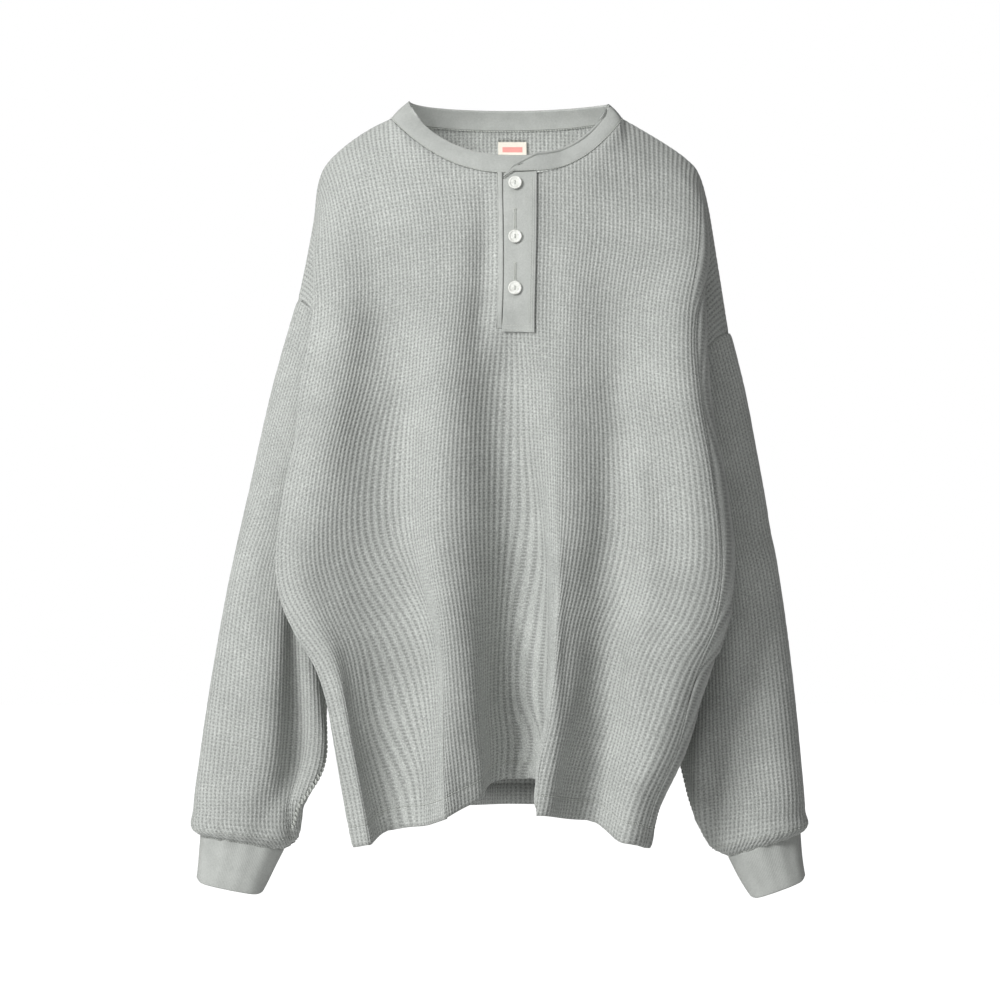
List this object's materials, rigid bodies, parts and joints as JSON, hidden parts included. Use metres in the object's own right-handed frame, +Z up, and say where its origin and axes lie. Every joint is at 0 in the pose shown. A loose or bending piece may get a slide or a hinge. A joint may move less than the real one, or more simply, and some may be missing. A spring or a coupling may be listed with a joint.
{
  "type": "henley thermal top",
  "caption": "Long-sleeved waffle-knit henley thermal top, oversized, hanging open and hollow, with a plain neckband, a buttoned half placket and rib cuffs.",
  "frame": {"origin": "the middle of the neck opening, level with the neck points of the shoulder seams, where a wearer's neck and shoulders hold the top up", "axes": "+Z up, towards the wearer's head; the front faces -Y; +X is on the right of someone looking at the front"},
  "size_m": [0.59, 0.2232, 0.7668],
  "materials": {
    "waffle_knit": "matt heather grey waffle knit",
    "plain_jersey": "matt heather grey fine rib and jersey",
    "shell_button": "white, shell-like, soft gloss",
    "woven_label": "cream woven ribbon with a plain coral band"
  },
  "bodies": {
    "root": {"front": "waffle_knit", "back": "waffle_knit", "sleeve_left": "waffle_knit", "sleeve_right": "waffle_knit", "cuff_left": "plain_jersey", "cuff_right": "plain_jersey", "neckband": "plain_jersey", "placket_overlap": "plain_jersey", "placket_underlap": "plain_jersey", "button_1": "shell_button", "button_2": "shell_button", "button_3": "shell_button", "neck_label": "woven_label"}
  },
  "joints": []
}
